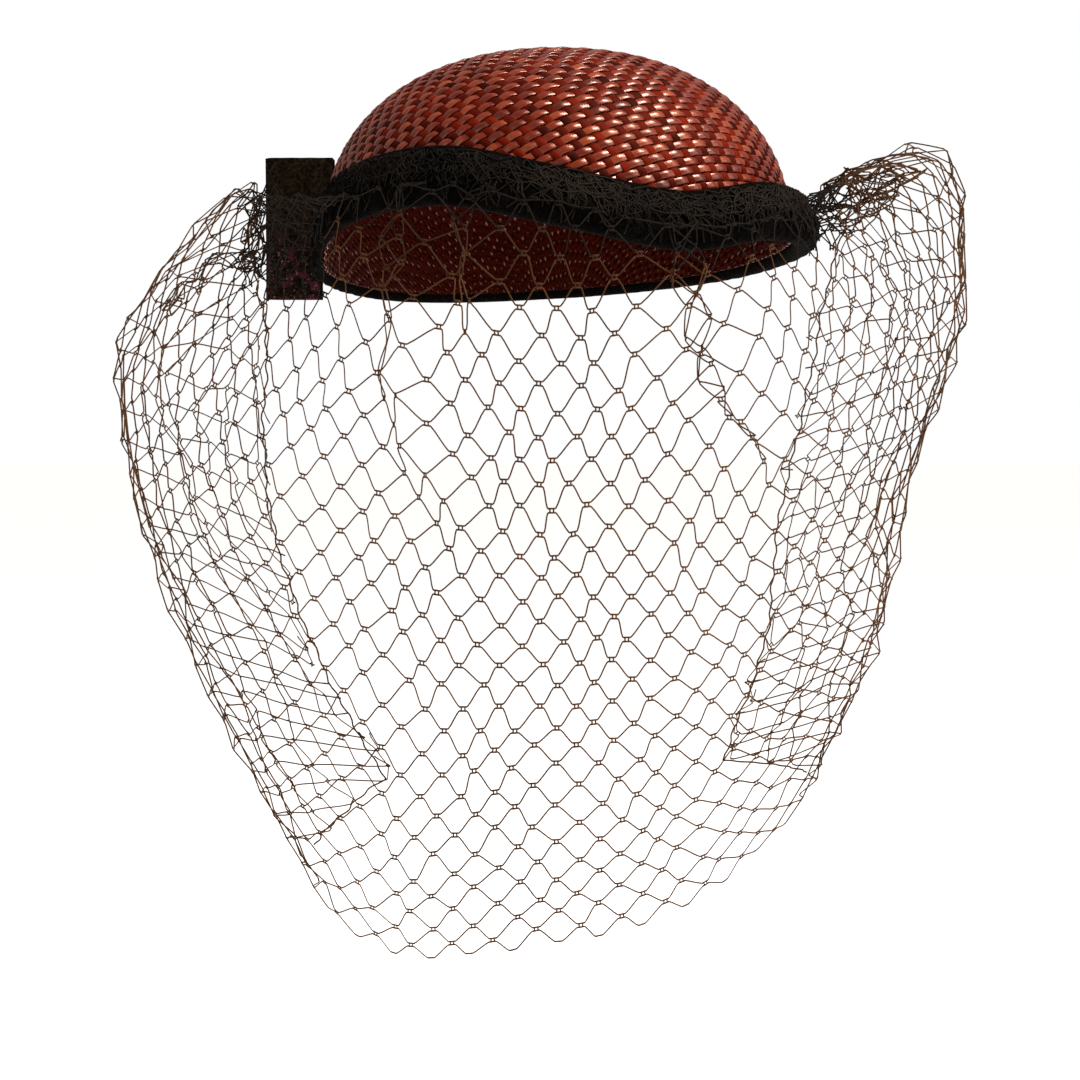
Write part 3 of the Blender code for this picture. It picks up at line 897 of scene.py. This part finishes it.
def net_points():
    """Final knot positions with the small unevenness of real net."""
    azimuth, fall, inside = net_knots()
    real = inside.copy()
    for row, column in np.argwhere(inside):
        for down in (-1, 1):
            for shift in (-1, 0) if row % 2 == 0 else (0, 1):
                if 0 <= row + down < real.shape[0] and 0 <= column + shift < real.shape[1]:
                    real[row + down, column + shift] = True
    dice = np.random.RandomState(21)
    sway = waves(NET_SWAY, azimuth, fall)
    slip = waves(NET_SLIP, azimuth, fall)
    free = smooth((fall - 0.05) / 0.25) * smooth((1.0 - fall) / 0.15) * inside
    azimuth = azimuth + sway * free
    fall = fall + slip * free
    azimuth, lift = folded(azimuth, fall, dice)
    amount = smooth(fall / 0.12)
    side = smooth((np.abs(azimuth - FRONT) - 60.0) / 40.0)
    lift = lift + waves(WING_WAVES, azimuth, fall) * side * smooth((fall - 0.05) / 0.2)
    point = veil_hull(azimuth, fall)
    outward = unit(point * np.array([1.0, 1.0, 0.0]))
    wobble = dice.normal(0.0, NET_WOBBLE, azimuth.shape + (3,)) * (1.0 + WING_WOBBLE * side)[..., None]
    root = side * np.exp(-(fall / 0.13) ** 2) * smooth(fall / 0.02)
    tangle = dice.normal(0.0, ROOT_TANGLE, azimuth.shape + (3,)) * root[..., None]
    tangle = tangle + outward * np.abs(tangle[..., :1])
    point = point + outward * lift[..., None] + wobble * amount[..., None] + tangle
    return point, outward, fall, real, inside


def net_threads(point, outward, fall, real, inside):
    """Tubes for the threads between knots, and for each knot a tiny ladder of bars and ties."""
    rows = point.shape[0]
    pairs = thread_pairs(real, inside)
    above = np.zeros_like(point)
    across = np.zeros_like(point)
    first = pairs[:, 0], pairs[:, 1]
    second = pairs[:, 2], pairs[:, 3]
    gap = point[second] - point[first]
    sign = pairs[:, 4][:, None]
    np.add.at(above, first, -gap)
    np.add.at(above, second, -gap)
    np.add.at(across, first, gap * sign)
    np.add.at(across, second, gap * sign)
    across = unit(across)
    above = unit(above)

    reach = np.full(point.shape[:2], np.inf)
    span = np.abs((gap * across[first]).sum(-1))
    np.minimum.at(reach, first, span)
    np.minimum.at(reach, second, span)
    width = np.minimum(KNOT_HALF_WIDTH, 0.30 * reach + 0.00035)
    right = across * width[..., None]
    up = above * KNOT_HALF_HEIGHT

    start = point[first] + right[first] * sign - up[first]
    end = point[second] - right[second] * sign + up[second]
    chord = end - start
    length = np.linalg.norm(chord, axis=-1, keepdims=True)
    lean_start = unit(unit(chord) + THREAD_BOW * across[first] * sign) * length * 0.9
    lean_end = unit(unit(chord) + THREAD_BOW * across[second] * sign) * length * 0.9
    steps = np.linspace(0.0, 1.0, CURVE_POINTS)[None, :, None]
    curve = ((2 * steps ** 3 - 3 * steps ** 2 + 1) * start[:, None, :]
             + (steps ** 3 - 2 * steps ** 2 + steps) * lean_start[:, None, :]
             + (3 * steps ** 2 - 2 * steps ** 3) * end[:, None, :]
             + (steps ** 3 - steps ** 2) * lean_end[:, None, :])
    threads = tubes(curve, THREAD_RADIUS, outward[first])
    # Painted shade: threads over the band or before the loop are dark, and the rest lighten down from the
    # gathers
    x, z = point[..., 0], point[..., 2]
    low_edge = edge_height(azimuth_of(point))
    on_band = (np.abs(x) < HALF_WIDTH + BAND_THICKNESS) & (z > low_edge - 0.001)
    on_loop = (x > LOOP_LOW[0]) & (x < LOOP_HIGH[0] + 0.012) & (z > LOOP_LOW[2] - 0.004)
    shade = np.where(on_band | on_loop, 0.0, smooth(fall / 0.24))
    thread_shade = np.repeat(shade[first], CURVE_POINTS * TUBE_SIDES)

    knots = np.argwhere(real)
    index = knots[:, 0], knots[:, 1]
    centre, r, u, normal = point[index], right[index], up[index], outward[index]
    sag = normal * 0.0001
    last = knots[:, 0] == rows - 1
    top = knots[:, 0] == 0
    upper = np.stack([centre - r + u, centre + u + sag, centre + r + u], axis=1)[~top]
    lower = np.stack([centre - r - u, centre - u + sag, centre + r - u], axis=1)[~last]
    bars = np.concatenate([upper, lower])
    bar_normals = np.concatenate([normal[~top], normal[~last]])
    inner = ~last & ~top
    ties = np.concatenate([np.stack([centre + r * share + u, centre + r * share - u], axis=1)[inner]
                           for share in TIE_PLACES])
    tie_normals = np.concatenate([normal[inner]] * len(TIE_PLACES))
    ladders = joined([tubes(bars, THREAD_RADIUS * 1.15, bar_normals),
                      tubes(ties, THREAD_RADIUS, tie_normals)])
    shades = shade[index]
    bar_shades = np.concatenate([shades[~top], shades[~last]])
    tie_shades = np.tile(shades[inner], len(TIE_PLACES))
    ladder_shade = np.concatenate([np.repeat(bar_shades, BAR_POINTS * TUBE_SIDES),
                                  np.repeat(tie_shades, TIE_POINTS * TUBE_SIDES)])
    return threads, thread_shade, ladders, ladder_shade


def edge_cords():
    """The thread that closes the net along its two rear edges and round their corners."""
    lines = []
    for start, turn, hem_end in ((REAR_LEFT, -REAR_TURN, -188.0), (REAR_RIGHT, REAR_TURN, 4.0)):
        down = np.linspace(0.02, 1.0, EDGE_STEPS)
        corner = float(rear_azimuth(1.0, start, turn))
        azimuth = np.concatenate([rear_azimuth(down, start, turn),
                                  np.linspace(corner, hem_end, EDGE_STEPS)])
        fall = np.concatenate([down, np.ones(EDGE_STEPS)])
        point = veil_hull(azimuth, fall)
        outward = unit(point * np.array([1.0, 1.0, 0.0]))
        along = np.cumsum(np.linalg.norm(np.diff(point, axis=0, prepend=point[:1]), axis=1))
        wave = 0.0006 * np.sin(along * 700.0) + 0.0004 * np.sin(along * 260.0)
        lines.append(point + outward * wave[:, None])
    return tubes(np.array(lines), THREAD_RADIUS * 1.2, np.array([(0.2, -1.0, 0.1), (-0.2, -1.0, 0.1)]))


def make_net():
    """The fine net, with the bunches where its wings are gathered."""
    layers = [net_threads(*net_points())]
    for seed, (columns, half_rows, path) in enumerate(NET_BUNCHES, BUNCH_SEED):
        layers.append(net_threads(*bunch_knots(columns, half_rows, path, seed)))
    threads, thread_shades, ladders, ladder_shades = map(list, zip(*layers))
    threads.append(edge_cords())
    thread_shades.append(np.ones(len(threads[-1][0])))
    finish = thread_material("net_thread", (0.0050, 0.0028, 0.0016), (0.040, 0.0158, 0.0046),
                             (0.078, 0.0320, 0.0100))
    veil = add_mesh("veil_threads", *joined(threads), finish, np.concatenate(thread_shades))
    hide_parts("veil")
    ladder = add_mesh("veil_knots", *joined(ladders), finish, np.concatenate(ladder_shades))


def skin_out(up):
    """How far out the band's outer side is at a share of its height."""
    rows = BAND_SECTION[2:7][::-1]
    return np.interp(up, rows[:, 1], rows[:, 0])


def crumpled(count, top, bottom, lift, seed):
    """Loose strands of gathered net that lie over the band, from its top edge downwards."""
    dice = np.random.RandomState(seed)
    step_count = 6
    azimuth = np.sort(dice.uniform(HEADER_FROM, HEADER_TO, count))
    steps = np.linspace(0.0, 1.0, step_count)[None, :]
    low = bottom + dice.uniform(-0.12, 0.12, (count, 1))
    high = top + dice.uniform(-0.06, 0.02, (count, 1))
    up = high + (low - high) * steps
    drift = np.cumsum(dice.normal(0.0, 0.95, (count, step_count)), axis=1)
    lean = dice.uniform(-5.0, 5.0, (count, 1)) * steps
    turned = azimuth[:, None] + drift + lean
    height = lift * (0.35 + dice.uniform(0.0, 1.0, (count, step_count)))
    lines = band_skin(turned, skin_out(up), up, height)
    reference = unit(lines.mean(axis=1) * np.array([1.0, 1.0, 0.3]))
    return lines, reference


def along_band(level, seed):
    """One thread of gathered net that runs along the band."""
    dice = np.random.RandomState(seed)
    azimuth = np.linspace(HEADER_FROM, HEADER_TO, 420)
    rises, lifts = 140, 90
    rise = np.interp(azimuth, np.linspace(HEADER_FROM, HEADER_TO, rises), dice.normal(0.0, 1.0, rises))
    stand = np.interp(azimuth, np.linspace(HEADER_FROM, HEADER_TO, lifts), dice.uniform(-1, 1, lifts))
    up = level + HEADER_WANDER * rise
    lift = HEADER_LIFT + HEADER_LIFT_SWING * stand
    return band_skin(azimuth, skin_out(up), np.minimum(up, 0.99), lift)


def make_header():
    """The gathered top of the net, crumpled over the band's front, in a far darker copy of the net's
    thread as painted shade.
    """
    finish = thread_material("net_gathered_shaded", (0.0030, 0.0019, 0.0012), (0.0016, 0.0010, 0.0006),
                             (0.0095, 0.0060, 0.0036))
    parts = []
    for strands in HEADER_STRANDS:
        lines, reference = crumpled(*strands)
        parts.append(tubes(lines, THREAD_RADIUS * 0.95, reference))
    for level, seed in HEADER_THREADS:
        line = along_band(level, seed)
        parts.append(tubes(line[None], THREAD_RADIUS, np.array([[0.0, -0.3, 1.0]])))
    points, faces = joined(parts)
    item = add_mesh("veil_header", points, faces, finish, np.ones(len(points)))


def make_stage():
    """A pale floor under the hat and a white surround."""
    size, level = 12.0, float(CAD_BOX[0][2]) - 0.12
    mesh = bpy.data.meshes.new("floor")
    corners = [(-size, -size, level), (size, -size, level), (size, size, level), (-size, size, level)]
    mesh.from_pydata(corners, [], [(0, 1, 2, 3)])
    nodes = Nodes("floor")
    nodes.set(Base_Color=(0.80, 0.80, 0.80, 1.0), Roughness=0.9,
              Emission_Color=(1.0, 0.995, 0.99, 1.0), Emission_Strength=0.73)
    mesh.materials.append(nodes.material)
    floor = bpy.data.objects.new("floor", mesh)
    bpy.context.scene.collection.objects.link(floor)

    world = bpy.data.worlds.new("studio")
    bpy.context.scene.world = world
    world.use_nodes = True
    tree = world.node_tree
    light = tree.nodes["Background"]
    light.inputs["Color"].default_value = (1.0, 0.94, 0.87, 1.0)
    light.inputs["Strength"].default_value = 0.35
    backdrop = tree.nodes.new("ShaderNodeBackground")
    backdrop.inputs["Color"].default_value = (1.0, 1.0, 1.0, 1.0)
    backdrop.inputs["Strength"].default_value = 1.0
    ray = tree.nodes.new("ShaderNodeLightPath")
    mix = tree.nodes.new("ShaderNodeMixShader")
    tree.links.new(ray.outputs["Is Camera Ray"], mix.inputs["Fac"])
    tree.links.new(light.outputs["Background"], mix.inputs[1])
    tree.links.new(backdrop.outputs["Background"], mix.inputs[2])
    tree.links.new(mix.outputs["Shader"], tree.nodes["World Output"].inputs["Surface"])


def add_light(name, direction, distance, size, power, colour):
    """A square soft light that looks at the crown."""
    data = bpy.data.lights.new(name, "AREA")
    data.shape = "SQUARE"
    data.size = size
    data.energy = power
    data.color = colour
    item = bpy.data.objects.new(name, data)
    place = Vector(direction).normalized() * distance
    item.location = place
    item.rotation_euler = (-place).to_track_quat("-Z", "Y").to_euler()
    bpy.context.scene.collection.objects.link(item)


def make_lights():
    """A warm key from above the front right, and weak fills from the sides."""
    for light in LIGHTS:
        add_light(*light)


def make_camera():
    """The photograph's view: 85 mm lens, 0.85 m away, 3 degrees above level."""
    lens, sensor, distance, elevation = 85.0, 36.0, 0.85, math.radians(3.0)
    aim = Vector((-0.0057, 0.0, -0.0967))
    back = Vector((0.0, -math.cos(elevation), math.sin(elevation)))
    data = bpy.data.cameras.new("camera")
    data.lens = lens
    data.sensor_width = sensor
    data.clip_end = 50.0
    item = bpy.data.objects.new("camera", data)
    item.location = aim + back * distance
    item.rotation_euler = back.to_track_quat("Z", "Y").to_euler()
    bpy.context.scene.collection.objects.link(item)
    bpy.context.scene.camera = item


make_camera()
make_stage()
make_lights()
make_crown()
make_band()
make_side_loop()
make_net()
make_header()
bpy.context.scene.view_settings.view_transform = "Standard"
